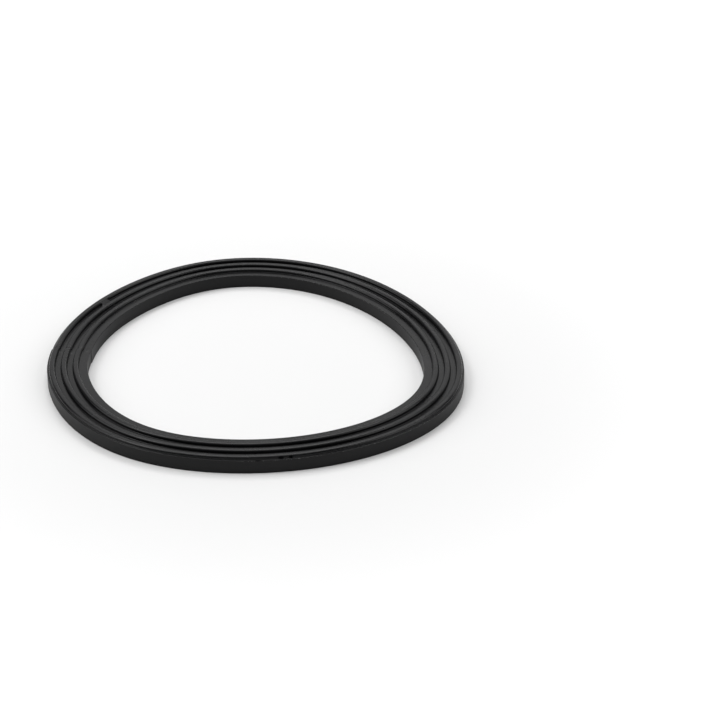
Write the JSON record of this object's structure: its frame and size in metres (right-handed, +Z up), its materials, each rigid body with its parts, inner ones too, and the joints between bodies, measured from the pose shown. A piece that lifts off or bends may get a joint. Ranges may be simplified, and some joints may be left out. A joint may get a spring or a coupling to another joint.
{
  "type": "ribbed flat ring gasket",
  "caption": "Flat rubber ring gasket with concentric sealing ribs on its top face, a flat underside and a wide inner land, lying slightly out of round.",
  "frame": {"origin": "middle of the ring's length and width, at the flat underside", "axes": "+Z up, square to the underside and out of the ribbed face; +X to the right and +Y away from the viewer, as the ring lies in the picture"},
  "size_m": [0.111, 0.1132, 0.0045],
  "materials": {
    "rubber": "satin, moulded black rubber"
  },
  "bodies": {
    "root": {"gasket": "rubber"}
  },
  "joints": []
}
